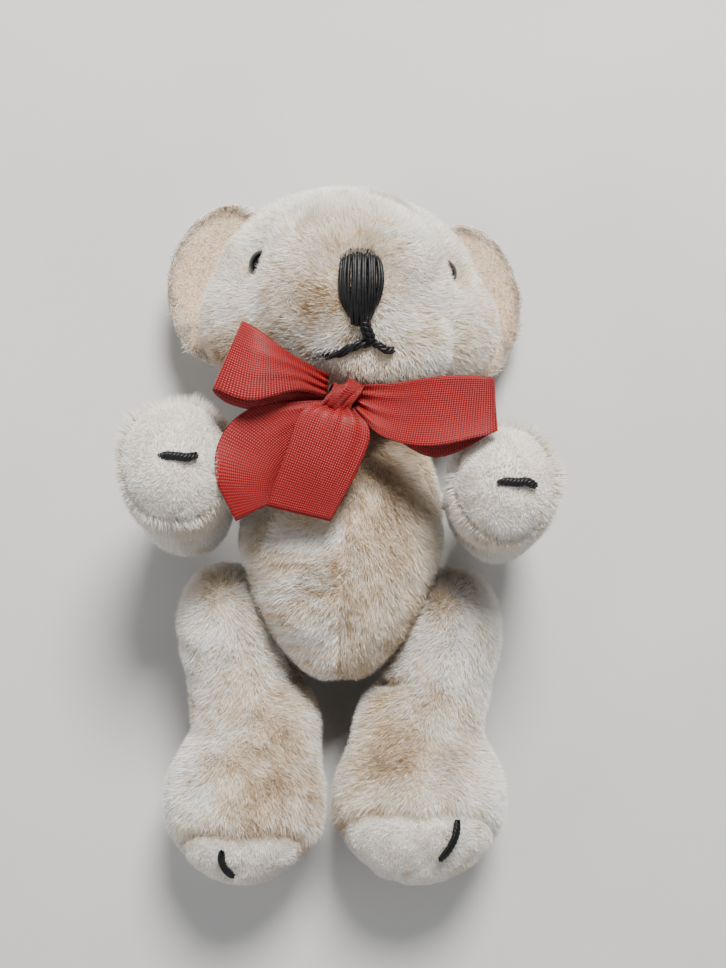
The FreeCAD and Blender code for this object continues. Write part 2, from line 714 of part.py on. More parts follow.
def split_ring():
    """Two close turns of flat wire, their outer slot and wire end showing, one rim on the floor."""
    inner = "ring_radius - wire_width"
    height = "2 * wire_height + turn_slot"
    slot_low = "-(turn_slot) / 2"
    slot_high = "turn_slot / 2"
    slot_floor = "ring_radius - turn_slot_depth"
    corners = [(f"-({height}) / 2", inner), (f"({height}) / 2", inner), (f"({height}) / 2", "ring_radius"),
               (slot_high, "ring_radius"), (slot_high, slot_floor), (slot_low, slot_floor),
               (slot_low, "ring_radius"), (f"-({height}) / 2", "ring_radius")]
    turns = turned("ring_turns", corners)
    gap = block("wire_end", ("-(wire_end_gap) / 2", 0, "-(ring_radius) - 1"),
                ("wire_end_gap", "wire_height + 1", "1 + 0.7 * turn_slot_depth"))
    ring = cut("ring_cut", turns, [gap])
    reach = "(2 * ring_radius - wire_width / 2)"
    drop = f"(tab_bore + tab_ply - ({height}) / 2)"
    tilt = f"asin({drop} / {reach})"
    centre = "(ring_radius - wire_width / 2)"
    place(ring, 0, f"tab_along - {centre} * cos({tilt})",
          f"tab_bore + tab_ply - {centre} * sin({tilt})", (1, 0, 0), f"90 deg + {tilt}")
    keep(ring, "split_ring")


# --- the whole bear ------------------------------------------------------------------------------

torso_covers()
torso_stuffing()
head_outer = head()
neck_joint()
for side, sign in SIDES:
    limb_joint("shoulder", side, sign, "shoulder_along", "shoulder_up", "shoulder_disc_radius")
    limb_joint("hip", side, sign, "hip_along", "hip_up", "hip_washer_radius")
    limb(arm_pieces(side), side, "shoulder_along", "shoulder_up", f"{side}_arm_lean")
    limb(leg_pieces(side), side, "hip_along", "hip_up", "0")
ribbon()
hanging_tab(head_outer)
split_ring()
doc.recompute()

for feature in doc.Objects:
    if "Invalid" in feature.State or "Error" in feature.State:
        raise RuntimeError(f"{feature.Name} failed: {feature.State}")
os.makedirs("parts", exist_ok=True)
for part in PARTS:
    if part.Shape.isNull() or not part.Shape.isValid() or part.Shape.Volume <= 0:
        raise RuntimeError(f"{part.Label} has no valid shape")
    part.Shape.exportStep(f"parts/{part.Label}.step")
    print(f"{part.Label}: {len(part.Shape.Solids)} solid, {part.Shape.Volume:.1f} mm3")
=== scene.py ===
import math

import bmesh
import bpy
import numpy as np
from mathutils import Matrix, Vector


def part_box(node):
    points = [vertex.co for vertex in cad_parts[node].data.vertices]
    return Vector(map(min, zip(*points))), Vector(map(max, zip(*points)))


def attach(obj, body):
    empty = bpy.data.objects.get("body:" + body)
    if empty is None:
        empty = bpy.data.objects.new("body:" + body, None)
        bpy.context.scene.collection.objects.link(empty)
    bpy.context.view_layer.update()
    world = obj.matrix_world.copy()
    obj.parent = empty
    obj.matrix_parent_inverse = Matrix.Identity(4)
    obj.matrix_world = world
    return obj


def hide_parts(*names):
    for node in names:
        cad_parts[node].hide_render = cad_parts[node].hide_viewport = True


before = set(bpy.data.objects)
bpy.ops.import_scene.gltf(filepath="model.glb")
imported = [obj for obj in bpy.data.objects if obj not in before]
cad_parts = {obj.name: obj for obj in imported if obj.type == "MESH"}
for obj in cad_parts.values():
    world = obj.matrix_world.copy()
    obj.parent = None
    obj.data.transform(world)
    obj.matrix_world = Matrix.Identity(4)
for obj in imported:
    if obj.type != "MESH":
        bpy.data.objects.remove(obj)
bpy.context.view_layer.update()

MM = 0.001
NECK_UP = 14.5          # mm, height of the neck and torso axis
HEAD_TURN = 5.0         # degrees that the head looks to its left
SIDES = (("left", -1), ("right", 1))
RIBS_PER_MM = 3.1       # of the ribbon's weave
WAVE_BANDS = 10         # bands in a unit of a wave node whose scale is pi


# --- camera and stage ----------------------------------------------------------------------------

REFERENCE_HEIGHT = 18.0        # mm, the level at which the view's scale is set
VIEW_DISTANCE = 200.0          # mm, from the camera to that level
FRAME_TALL = 968.0             # pixels
PIXELS_PER_MM = 7.2
VIEW_CENTRE = (3.0, 8.7)       # mm
VIEW_ROLL = 1.0                # degrees
SENSOR = 36.0


def make_camera():
    """Straight down on the bear as it lies on its back, the head at the top of the frame."""
    data = bpy.data.cameras.new("camera")
    data.sensor_width = SENSOR
    data.lens = PIXELS_PER_MM * VIEW_DISTANCE * SENSOR / FRAME_TALL
    data.clip_start = 0.01
    camera = bpy.data.objects.new("camera", data)
    bpy.context.scene.collection.objects.link(camera)
    camera.location = (VIEW_CENTRE[0] * MM, VIEW_CENTRE[1] * MM, (REFERENCE_HEIGHT + VIEW_DISTANCE) * MM)
    camera.rotation_euler = (0, 0, math.radians(VIEW_ROLL))
    bpy.context.scene.camera = camera


def area_light(name, place, target, size, power, colour=(1, 1, 1)):
    data = bpy.data.lights.new(name, "AREA")
    data.shape = "DISK"
    data.size = size
    data.energy = power
    data.color = colour
    light = bpy.data.objects.new(name, data)
    bpy.context.scene.collection.objects.link(light)
    light.location = place
    light.rotation_euler = (Vector(target) - Vector(place)).to_track_quat("-Z", "Y").to_euler()


def make_stage():
    """A plain pale floor, one large soft key from the head end and weak fills."""
    mesh = bpy.data.meshes.new("floor")
    half = 1.5
    corners = [(-half, -half, 0), (half, -half, 0), (half, half, 0), (-half, half, 0)]
    mesh.from_pydata(corners, [], [(0, 1, 2, 3)])
    floor = bpy.data.objects.new("floor", mesh)
    bpy.context.scene.collection.objects.link(floor)
    mesh.materials.append(floor_material())
    area_light("key", (0.06, 0.30, 0.36), (0, 0.005, 0.015), 0.16, 4.1, (1.0, 0.98, 0.95))
    area_light("fill_left", (-0.34, -0.02, 0.24), (0, 0, 0.015), 0.30, 0.5)
    area_light("fill_low", (0.16, -0.36, 0.26), (0, -0.01, 0.015), 0.30, 0.5)
    world = bpy.data.worlds.new("studio")
    bpy.context.scene.world = world
    world.use_nodes = True
    world.node_tree.nodes["Background"].inputs["Color"].default_value = (0.86, 0.90, 1.0, 1)
    world.node_tree.nodes["Background"].inputs["Strength"].default_value = 0.14


# --- materials -----------------------------------------------------------------------------------

def material(name, roughness=0.6, **sockets):
    """A new Principled material; sockets are set by name, underscores for spaces."""
    made = bpy.data.materials.new(name)
    made.use_nodes = True
    shader = made.node_tree.nodes["Principled BSDF"]
    shader.inputs["Roughness"].default_value = roughness
    for socket, value in sockets.items():
        shader.inputs[socket.replace("_", " ")].default_value = value
    return made, made.node_tree.nodes, made.node_tree.links, shader


def linear(red, green, blue):
    """An sRGB colour of 0-255 values as a linear RGBA."""
    channels = [value / 255 for value in (red, green, blue)]
    return (*(c / 12.92 if c <= 0.04045 else ((c + 0.055) / 1.055) ** 2.4 for c in channels), 1)


def noise_node(nodes, links, scale, detail=3.0, stretch=(1, 1, 1)):
    """Noise in object space, in cycles per metre, stretched along the axes."""
    coordinates = nodes.new("ShaderNodeTexCoord")
    mapping = nodes.new("ShaderNodeMapping")
    mapping.inputs["Scale"].default_value = stretch
    noise = nodes.new("ShaderNodeTexNoise")
    noise.inputs["Scale"].default_value = scale
    noise.inputs["Detail"].default_value = detail
    links.new(coordinates.outputs["Object"], mapping.inputs["Vector"])
    links.new(mapping.outputs["Vector"], noise.inputs["Vector"])
    return noise


def ramp_node(nodes, links, source, stops):
    """Colours at their positions along the source's 0 to 1."""
    ramp = nodes.new("ShaderNodeValToRGB")
    ramp.color_ramp.elements[0].position = stops[0][0]
    ramp.color_ramp.elements[0].color = stops[0][1]
    ramp.color_ramp.elements[1].position = stops[-1][0]
    ramp.color_ramp.elements[1].color = stops[-1][1]
    for position, colour in stops[1:-1]:
        ramp.color_ramp.elements.new(position).color = colour
    links.new(source, ramp.inputs["Fac"])
    return ramp


def bump_node(nodes, links, shader, height, distance, strength=1.0):
    """Bump of the given height in metres on the shader's normal."""
    bump = nodes.new("ShaderNodeBump")
    bump.inputs["Distance"].default_value = distance
    bump.inputs["Strength"].default_value = strength
    links.new(height, bump.inputs["Height"])
    links.new(bump.outputs["Normal"], shader.inputs["Normal"])


def grained(name, roughness, noise, low, high, bump=0.0, **sockets):
    """Two (position, colour) stops mixed by noise of (scale, detail, stretch), with bump in metres."""
    made, nodes, links, shader = material(name, roughness, **sockets)
    grain = noise_node(nodes, links, *noise).outputs["Fac"]
    ramp = ramp_node(nodes, links, grain, [low, high])
    links.new(ramp.outputs["Color"], shader.inputs["Base Color"])
    if bump:
        bump_node(nodes, links, shader, grain, bump)
    return made


def floor_material():
    return grained("floor_paper", 0.8, (30,), (0.3, linear(214, 213, 210)), (0.7, linear(219, 218, 216)))


def cloth_base(name, dark, light, scale=900, stretch=(1, 1, 1), depth=0.00015):
    """Backing cloth or short nap: two shades in fine noise, with bump."""
    return grained(name, 0.85, (scale, 4, stretch), (0.3, dark), (0.7, light), depth, Sheen_Weight=0.25,
                   Sheen_Roughness=0.4)


# Tan to silver-white: the pile's cream varies at random, and the silver-white end also stands for painted
# sheen where the nap catches the light, the tan end for painted shade where it turns away.
PILE_SHADES = (
    linear(181, 153, 117),
    linear(213, 189, 156),
    linear(232, 213, 184),
    linear(243, 229, 208),
    linear(250, 241, 228),
    linear(254, 252, 248),
)


def pile_materials():
    """Fibre shades from tan to silver-white, each plain so that no fibre needs a texture; the light end
    paints the pile's sheen and the tan end its shade.
    """
    shades = []
    for number, colour in enumerate(PILE_SHADES):
        made, _, _, shader = material(f"pile_{number}", 0.42 - 0.02 * number, Sheen_Weight=0.2,
                                      Sheen_Roughness=0.35, Specular_IOR_Level=0.55)
        shader.inputs["Base Color"].default_value = colour
        shades.append(made)
    return shades


def thread_material():
    return grained("black_floss", 0.46, (1400, 2), (0.35, linear(5, 5, 6)), (0.75, linear(20, 19, 21)),
                   0.00005, Specular_IOR_Level=0.38)


def bead_material():
    return grained("eye_bead", 0.10, (500, 2), (0.3, linear(8, 7, 8)), (0.8, linear(18, 14, 13)),
                   Coat_Weight=0.12, Coat_Roughness=0.05, Specular_IOR_Level=0.25)


def ribbon_material():
    """Sheer red taffeta: fine ribs across the ribbon and along it, lighter between threads."""
    made, nodes, links, shader = material("red_taffeta", 0.42, Sheen_Weight=0.12, Sheen_Roughness=0.3,
                                          Specular_IOR_Level=0.55, Alpha=0.93)
    coordinates = nodes.new("ShaderNodeUVMap")
    weave = nodes.new("ShaderNodeMath")
    weave.operation = "MULTIPLY"
    for number, direction in enumerate("YX"):
        wave = nodes.new("ShaderNodeTexWave")
        wave.wave_type = "BANDS"
        wave.bands_direction = direction
        wave.inputs["Scale"].default_value = RIBS_PER_MM * math.pi / WAVE_BANDS
        wave.inputs["Distortion"].default_value = 0.6
        wave.inputs["Detail"].default_value = 2
        wave.inputs["Detail Scale"].default_value = 0.4
        links.new(coordinates.outputs["UV"], wave.inputs["Vector"])
        links.new(wave.outputs["Fac"], weave.inputs[number])
    shades = [(0.0, linear(96, 2, 4)), (0.35, linear(170, 6, 10)), (1.0, linear(228, 36, 28))]
    ramp = ramp_node(nodes, links, weave.outputs["Value"], shades)
    links.new(ramp.outputs["Color"], shader.inputs["Base Color"])
    bump_node(nodes, links, shader, weave.outputs["Value"], 0.00008, 0.9)
    return made


def tape_material():
    return cloth_base("woven_tape", linear(196, 180, 152), linear(226, 214, 192), 1600, (1, 3, 3), 0.0001)


def steel_material():
    return grained("nickel", 0.22, (700, 3, (1, 1, 6)), (0.3, linear(178, 176, 172)),
                   (0.7, linear(214, 213, 210)), 0.00001, Metallic=1.0)


def joint_material():
    return grained("moulded_plastic", 0.45, (900, 3), (0.3, linear(222, 219, 208)),
                   (0.7, linear(232, 230, 222)), 0.00002)


# --- shapes --------------------------------------------------------------------------------------

def add_mesh(name, vertices, faces, materials, body, slot, indices=None):
    """A smooth mesh object from points in millimetres, riding on body."""
    mesh = bpy.data.meshes.new(name)
    vertices = looked_aside(vertices, body) * MM
    faces = np.asarray(faces)
    mesh.vertices.add(len(vertices))
    mesh.vertices.foreach_set("co", vertices.ravel())
    mesh.loops.add(faces.size)
    mesh.loops.foreach_set("vertex_index", faces.ravel())
    mesh.polygons.add(len(faces))
    mesh.polygons.foreach_set("loop_start", np.arange(0, faces.size, faces.shape[1]))
    if indices is not None:
        mesh.polygons.foreach_set("material_index", np.asarray(indices, dtype=np.int32))
    mesh.polygons.foreach_set("use_smooth", np.ones(len(faces), bool))
    mesh.update(calc_edges=True)
    for one in materials:
        mesh.materials.append(one)
    made = bpy.data.objects.new(name, mesh)
    bpy.context.scene.collection.objects.link(made)
    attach(made, body)
    return made


def unit_ball(levels):
    """Unit icosphere as points and triangles."""
    ball = bmesh.new()
    bmesh.ops.create_icosphere(ball, subdivisions=levels, radius=1)
    points = np.array([vertex.co[:] for vertex in ball.verts])
    faces = np.array([[vertex.index for vertex in face.verts] for face in ball.faces])
    ball.free()
    return points, faces



def looked_aside(points, body):
    """The head's own slight turn to one side, about the neck's axis."""
    if body != "head":
        return points
    angle = math.radians(HEAD_TURN)
    x, y, z = np.asarray(points, float).T
    up = z - NECK_UP
    return np.stack([x * math.cos(angle) + up * math.sin(angle), y,
                     NECK_UP + up * math.cos(angle) - x * math.sin(angle)], axis=1)


def turned_about_x(points, degrees):
    angle = math.radians(degrees)
    y = points[:, 1] * math.cos(angle) - points[:, 2] * math.sin(angle)
    z = points[:, 1] * math.sin(angle) + points[:, 2] * math.cos(angle)
    return np.stack([points[:, 0], y, z], axis=1)


def stuffed_distance(points, lumps, blend):
    """Signed distance, roughly, to ellipsoids (centre, radii) blended over the given length."""
    total = np.zeros(len(points))
    for centre, radii in lumps:
        scaled = (points - np.array(centre, float)) / np.array(radii, float)
        distance = (np.linalg.norm(scaled, axis=1) - 1) * min(radii)
        total += np.exp(-distance / blend)
    return -blend * np.log(total + 1e-300)


NEAREST, FARTHEST = 0.5, 60.0       # mm from the inner point, between which the skin is looked for
HALVINGS = 28
WAVE_COUNT = 10


def skin_of(lumps, inside, blend=1.0, levels=5):
    """Points and triangles of the blended form, seen from a point inside it."""
    directions, faces = unit_ball(levels)
    near = np.full(len(directions), NEAREST)
    far = np.full(len(directions), FARTHEST)
    inside = np.array(inside, float)
    for _ in range(HALVINGS):
        middle = (near + far) / 2
        within = stuffed_distance(inside + directions * middle[:, None], lumps, blend) < 0
        near = np.where(within, middle, near)
        far = np.where(within, far, middle)
    return inside + directions * near[:, None], faces


def normals_of(points, faces):
    """Vertex normals, weighted by area."""
    a, b, c = (points[faces[:, corner]] for corner in range(3))
    face_normals = np.cross(b - a, c - a)
    normals = np.zeros_like(points)
    for corner in range(3):
        np.add.at(normals, faces[:, corner], face_normals)
    return normals / np.linalg.norm(normals, axis=1)[:, None]


def waves(points, length, seed, stretch=(1, 1, 1)):
    """Smooth random field of about -1 to 1 whose features are about length millimetres long."""
    random = np.random.default_rng(seed)
    directions = random.normal(size=(WAVE_COUNT, 3))
    directions /= np.linalg.norm(directions, axis=1)[:, None]
    rates = random.uniform(0.6, 1.5, size=(WAVE_COUNT, 1)) * 2 * math.pi / (2.2 * length)
    frequencies = directions * rates
    phases = random.uniform(0, 2 * math.pi, WAVE_COUNT)
    return np.sin((points * np.array(stretch)) @ frequencies.T + phases).sum(axis=1) / 4.0


def hollow(points, centre, radius):
    """Bell of height 1 about a centre."""
    squared = ((points - np.array(centre, float)) ** 2).sum(axis=1)
    return np.exp(-squared / (2 * radius * radius))


def softened(points, faces, seed, amount=0.18):
    """Small lumps of the filling under the cover."""
    normals = normals_of(points, faces)
    lift = amount * waves(points, 5.0, seed) + 0.4 * amount * waves(points, 2.2, seed + 1)
    return points + normals * lift[:, None]


# --- pile ----------------------------------------------------------------------------------------

FLOOR_GAP = 0.05     # mm, pile pressed flat where the bear rests
PRESSED, PRESSED_HEIGHT = 0.35, 6.0     # share of the pile's length at the floor, and mm over which it grows
SWIRL_LENGTH = 4.5      # mm
NAP_SCATTER = 0.30
LEAN_RANGE = (0.05, 0.97)
ROOT_DEPTH = 0.1        # mm that fibres start under the skin
GLINT, GLINTING_SHARE = 0.28, 0.12      # how much lighter some fibres are, and how many
TINY = 1e-9


def scatter(points, faces, per_mm2, seed, keep=None):
    """Random roots on the skin with their normals; keep(points) is the chance that a root stays."""
    random = np.random.default_rng(seed)
    a, b, c = (points[faces[:, corner]] for corner in range(3))
    areas = np.linalg.norm(np.cross(b - a, c - a), axis=1) / 2
    count = int(areas.sum() * per_mm2)
    chosen = random.choice(len(faces), size=count, p=areas / areas.sum())
    u, v = random.uniform(size=(2, count))
    over = u + v > 1
    u, v = np.where(over, 1 - u, u), np.where(over, 1 - v, v)
    normals = normals_of(points, faces)
    corners = faces[chosen]
    weights = np.stack([1 - u - v, u, v], axis=1)
    roots = (points[corners] * weights[:, :, None]).sum(axis=1)
    outward = (normals[corners] * weights[:, :, None]).sum(axis=1)
    outward /= np.linalg.norm(outward, axis=1)[:, None]
    if keep is not None:
        stays = random.uniform(size=count) < keep(roots)
        roots, outward = roots[stays], outward[stays]
    return roots, outward, random


def pile(name, skin, body, flow, shade, per_mm2=54.0, length=1.35, lean=0.7, width=0.125, seed=1,
         keep=None, crush=0.7, clear=None, slot="cream_plush"):
    """Short silky fibres as slim triangles: flow gives the nap's direction, shade its colour from 0 to 1."""
    points, faces = skin
    roots, outward, random = scatter(points, faces, per_mm2, seed, keep)
    count = len(roots)
    swirl = np.stack([waves(roots, SWIRL_LENGTH, seed + 11 + axis) for axis in range(3)], axis=1)
    nap = flow(roots) + crush * swirl + NAP_SCATTER * random.normal(size=(count, 3))
    nap -= outward * (nap * outward).sum(axis=1)[:, None]
    nap /= np.linalg.norm(nap, axis=1)[:, None] + TINY
    laid = np.clip(lean + 0.20 * waves(roots, 2.6, seed + 14) + 0.10 * random.normal(size=count), *LEAN_RANGE)
    lengths = length * random.uniform(0.7, 1.2, count)
    if clear is not None:
        lengths *= clear(roots)
    way = outward * np.sqrt(1 - laid ** 2)[:, None] + nap * laid[:, None]
    across = np.cross(way, outward) + 0.8 * random.normal(size=(count, 3))
    across -= way * (across * way).sum(axis=1)[:, None]
    across /= np.linalg.norm(across, axis=1)[:, None] + TINY
    half = across * (width / 2 * random.uniform(0.7, 1.3, count))[:, None]
    low = roots - outward * ROOT_DEPTH
    blades = np.stack([low - half, low + half, roots + way * lengths[:, None]], axis=1)
    blades[:, :, 2] = np.maximum(blades[:, :, 2], FLOOR_GAP)
    glint = GLINT * (random.uniform(size=count) < GLINTING_SHARE)
    grain = 0.16 * waves(roots, 0.42, seed + 15) + 0.08 * waves(roots, 1.3, seed + 16)
    tone = shade(roots) + 0.14 * random.normal(size=count) + glint + grain
    last = len(PILE) - 1
    tones = np.clip((tone * (last + 0.99)).astype(int), 0, last)
    return add_mesh(name, blades.reshape(-1, 3), np.arange(3 * count).reshape(-1, 3), PILE, body, slot, tones)


def clear_of_floor(points):
    """Shorter pile low on the back, where it is pressed."""
    return np.clip(PRESSED + points[:, 2] / PRESSED_HEIGHT, PRESSED, 1.0)


# --- torso ---------------------------------------------------------------------------------------

PILE_HEIGHT = 0.9      # mm that the skin sits inside the CAD cover's surface
SEAM_OFFSET = 0.3      # mm that the centre seam wanders off the middle
WAIST = 1.0            # mm along, where the torso is widest
CROTCH_POWER, CROTCH_BLUNTNESS = 1.5, 0.57      # the fall from the waist to a blunt point
NECK_POWER, NECK_SHARE = 2.2, 0.92              # the fall to the neck, and how far it closes
LEAST_GIRTH = 0.02
CRIMP_LENGTH = 1.7     # mm between the crimps in the silvery half's pile


def torso():
    """The body's skin, widest at the waist, with its centre seam pulled in."""
    low, high = (np.array(corner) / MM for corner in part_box("torso_cover_left"))
    bottom, top = low[1], high[1]
    axis_up = (low[2] + high[2]) / 2
    radius = (high[2] - low[2]) / 2 - PILE_HEIGHT
    points, faces = unit_ball(5)
    rise = np.clip(points[:, 1], -1, 1)
    along = WAIST + rise * np.where(rise < 0, WAIST - bottom - PILE_HEIGHT, top - WAIST)
    below = along < WAIST
    fall = (along - WAIST) / np.where(below, bottom - WAIST, top - WAIST)
    to_crotch = np.clip(1 - fall ** CROTCH_POWER, 0, 1) ** CROTCH_BLUNTNESS
    to_neck = np.sqrt(np.clip(1 - NECK_SHARE * fall ** NECK_POWER, 0, 1))
    girth = np.maximum(np.where(below, to_crotch, to_neck), LEAST_GIRTH) * radius
    around = points[:, [0, 2]]
    around /= np.linalg.norm(around, axis=1)[:, None] + TINY
    form = np.stack([around[:, 0] * girth, along, axis_up + around[:, 1] * girth], axis=1)
    form = softened(form, faces, 3)
    normals = normals_of(form, faces)
    middle = SEAM_OFFSET + 0.35 * waves(form, 7, 5)
    seam = -0.45 * np.exp(-((form[:, 0] - middle) / 0.7) ** 2) * (form[:, 2] > axis_up)
    form = form + normals * seam[:, None]
    cover = add_mesh("torso_plush", form, faces, [BACKING], "torso", "cream_plush")
    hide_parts("torso_cover_left", "torso_cover_right", "torso_stuffing")

    def flow(p):
        left = p[:, 0] < SEAM_OFFSET
        return np.where(left[:, None], np.array([-0.9, -0.45, 0]), np.array([0.25, -1.0, 0]))

    def shade(p):
        """Painted sheen on the pile: crimped silver on the left half, where the nap catches the light,
        smoother tan on the right, where it turns away, lighter again toward the sides.
        """
        left = p[:, 0] < SEAM_OFFSET + 0.9 * waves(p, 3.5, 5)
        phase = p[:, 1] * 2 * math.pi / CRIMP_LENGTH + 2.5 * waves(p, 5, 41)
        # painted sheen and shade in bands along the crimps
        crimp_sheen = 0.20 * np.sin(phase) * (p[:, 1] < 2) * (p[:, 0] > -9)
        silver = 0.74 + 0.20 * waves(p, 4, 42, (0.5, 1.6, 1)) + crimp_sheen
        tan = 0.42 + 0.10 * waves(p, 5, 43, (1.5, 0.5, 1))
        # painted sheen, lighter toward the sides
        rim = 0.35 * np.clip((np.abs(p[:, 0]) - 9.5) / 4, 0, 1)
        return np.where(left, silver, tan + rim)

    pile("torso_pile", (form, faces), "torso", flow, shade, seed=21, clear=clear_of_floor)


# --- head ----------------------------------------------------------------------------------------

HEAD_LUMPS = [          # centre and radii of the crown, the cheeks, the brow with the muzzle, and the chin
    ((0, 35.6, 14.6), (17.6, 13.6, 13.6)),
    ((-9.9, 31.0, 15.5), (9.2, 8.6, 12.0)),
    ((11.2, 30.6, 15.5), (9.4, 8.8, 12.0)),
    ((0, 34.9, 22.0), (13.4, 12.6, 15.9)),
    ((4.0, 26.9, 28.2), (8.2, 5.6, 7.0)),
]
EYES = {"left": (-13.2, 38.2, 25.8), "right": (13.6, 38.0, 24.6)}
EYE_TALL = np.array([1, 0.7, 1])        # an eye's dimple is taller than wide
MOUTH_DIP = (0.5, 26.2, 36)
GUSSET_HALF_WIDTH = 6.5                 # mm, where the head's side panels begin
BARE_SPOTS = ((0.5, 33.4, 38.4), (1.6, 27.0, 36.6))     # under the nose and the mouth


def head():
    """The head's skin with dimples at the eyes and mouth; returns its points and faces."""
    form, faces = skin_of(HEAD_LUMPS, (0, 34, 17), blend=0.9, levels=6)
    form = softened(form, faces, 7)
    normals = normals_of(form, faces)
    sink = np.zeros(len(form))
    for centre in EYES.values():
        sink -= 1.3 * hollow(form * EYE_TALL, np.array(centre) * EYE_TALL, 1.7)
    sink -= 0.5 * hollow(form, MOUTH_DIP, 1.2)
    form = form + normals * sink[:, None]
    cover = add_mesh("head_plush", form, faces, [BACKING], "head", "cream_plush")
    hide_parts("head_gusset", "head_side_left", "head_side_right", "head_stuffing")

    def flow(p):
        out = p - np.array([0.3, 32.0, 30.0])
        out[:, 2] *= 0.3
        return out / (np.linalg.norm(out, axis=1)[:, None] + 1e-6)

    def shade(p):
        """Painted light on the pile: lighter over the crown, which faces the key light, and toward the right,
        a painted sheen on one temple, tan about the muzzle and brow where the nap turns from the light, and
        painted shade on the jaw.
        """
        x, y, z = p.T
        base = 0.72 + 0.14 * waves(p, 4.5, 51) + 0.10 * waves(p, 1.6, 52)
        # painted light: lighter toward the crown, which faces the key light
        base += 0.22 * np.clip((y - 38) / 8, 0, 1) * (z > 18)
        # painted light: lighter toward the right, on the key light's side
        base += 0.14 * np.clip(x / 10, 0, 1) * (z > 28)
        # tan about the muzzle and brow: painted shade where the nap turns from the light
        base -= 0.16 * hollow(p, (-6.5, 29.0, 35.0), 4.5)
        base -= 0.24 * hollow(p, (0.5, 42.0, 35.0), 3.0)
        # painted sheen on the left temple
        base += 0.22 * hollow(p, (-16.5, 33.5, 22.0), 4.5)
        # painted shade low on the jaw, on both sides
        base -= 0.32 * hollow(p, (-17.0, 27.0, 20.0), 3.2)
        base -= 0.20 * hollow(p, (17.0, 26.0, 20.0), 3.0)
        return base

    def clipped(p):
        """Pile cut short round the nose, mouth and eyes."""
        short = clear_of_floor(p)
        for centre in BARE_SPOTS:
            short = short * (1 - 0.55 * hollow(p, centre, 2.6))
        for centre in EYES.values():
            short = short * (1 - 0.7 * hollow(p, centre, 1.9))
        return short

    panels = {"head_gusset_pile": lambda p: np.abs(p[:, 0]) <= GUSSET_HALF_WIDTH,
              "head_side_left_pile": lambda p: p[:, 0] < -GUSSET_HALF_WIDTH,
              "head_side_right_pile": lambda p: p[:, 0] > GUSSET_HALF_WIDTH}
    for name, where in panels.items():
        pile(name, (form, faces), "head", flow, shade, seed=31, keep=where, clear=clipped, lean=0.6)
    return form, faces


# --- limbs ---------------------------------------------------------------------------------------

SHOULDER = np.array([0, 6.4, 15.0])     # a point on both arms' hinge axis
ARM_LEANS = {"left": -11.0, "right": -6.0}      # degrees toward the head
PAWS = {"left": ((-21.4, 1.2, 14.3), (6.6, 8.0, 8.7)), "right": ((21.4, 0.7, 14.3), (6.2, 7.3, 8.7))}
PAD_EDGE = 17.3         # mm up the arm, where its pad begins
CLAW_MIDDLES = {"left": (-20.3, 0.9), "right": (22.3, 0.4)}
CLAW_UP = 23.35         # mm up the arm, just over the pad
PAW_CLAW_RADIUS, FOOT_CLAW_RADIUS = 0.55, 0.5


def arms():
    """Stuffed arms that stand up from the shoulders, with a knit pad and one claw stitch."""
    for side, sign in SIDES:
        lean = ARM_LEANS[side]
        lumps = [((sign * 21.6, 0, 1.5), (5.9, 7.3, 9.2)), PAWS[side]]
        local, faces = skin_of(lumps, (sign * 21.7, 0, 8), blend=1.2)
        local = softened(local, faces, 60 + sign)
        form = turned_about_x(local, lean) + SHOULDER
        body = f"arm_{side}"
        cover = add_mesh(f"arm_plush_{side}", form, faces, [BACKING], body, "cream_plush")
        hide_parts(f"arm_cover_{side}", f"arm_stuffing_{side}")

        def to_local(p):
            return turned_about_x(p - SHOULDER, -lean)

        def on_pad(p):
            q = to_local(p)
            return q[:, 2] > PAD_EDGE - 0.12 * (q[:, 1] + 2.0) + 0.5 * waves(q, 4, 65)

        def flow(p):
            q = to_local(p)
            out = np.stack([0.5 * (q[:, 0] - sign * 21.8), q[:, 1], 0.35 * (q[:, 2] - 4)], axis=1)
            return out / (np.linalg.norm(out, axis=1)[:, None] + 1e-6)

        def shade(p):
            return 0.84 + 0.12 * waves(p, 3.5, 66) + 0.10 * waves(p, 1.5, 67)

        def ruff(p):
            """Longer tufts toward the pad's upper edge."""
            q = to_local(p)
            rim = np.clip((q[:, 2] - 11) / 6, 0, 1) * np.clip(0.3 + q[:, 1] / 6, 0.1, 1)
            return clear_of_floor(p) * (1 + rim * (0.7 + 0.5 * waves(p, 1.6, 68)))

        pile(f"arm_pile_{side}", (form, faces), body, flow, shade, seed=70 + sign,
             keep=lambda p: ~on_pad(p), clear=ruff, length=1.5, lean=0.5)
        pad_faces = faces[on_pad(form[faces].mean(axis=1))]
        pad(f"paw_pad_knit_{side}", form, pad_faces, body, f"paw_pad_{side}", 80 + sign)
        bend = np.array([[-2.4, -0.1 * sign, -0.55], [-1.2, 0.05, 0.0], [0, 0, 0.1], [1.2, 0.1 * sign, 0.0],
                         [2.4, -0.35 * sign, -0.55]])
        path = turned_about_x(np.array([*CLAW_MIDDLES[side], CLAW_UP]) + bend, lean) + SHOULDER
        stitch(f"paw_claw_thread_{side}", body, f"paw_claw_{side}", path, PAW_CLAW_RADIUS)


def pad(name, form, faces, body, node, seed):
    """A knit pad: the skin's own faces lifted a little, with a velour of very short fibres."""
    used, inverse = np.unique(faces.ravel(), return_inverse=True)
    faces = inverse.reshape(-1, 3)
    points = form[used]
    normals = normals_of(points, faces)
    points = points + normals * (0.25 + 0.12 * waves(points, 0.9, seed))[:, None]
    cover = add_mesh(name, points, faces, [KNIT], body, "pad_knit")
    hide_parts(node)
    pile(name + "_velour", (points, faces), body,
         lambda p: waves(p, 2, seed)[:, None] * np.array([1, 0.4, 0]),
         lambda p: 0.90 + 0.12 * waves(p, 1.2, seed + 1),
         length=0.6, lean=0.45, width=0.11, seed=seed, crush=1.0, slot="pad_knit")


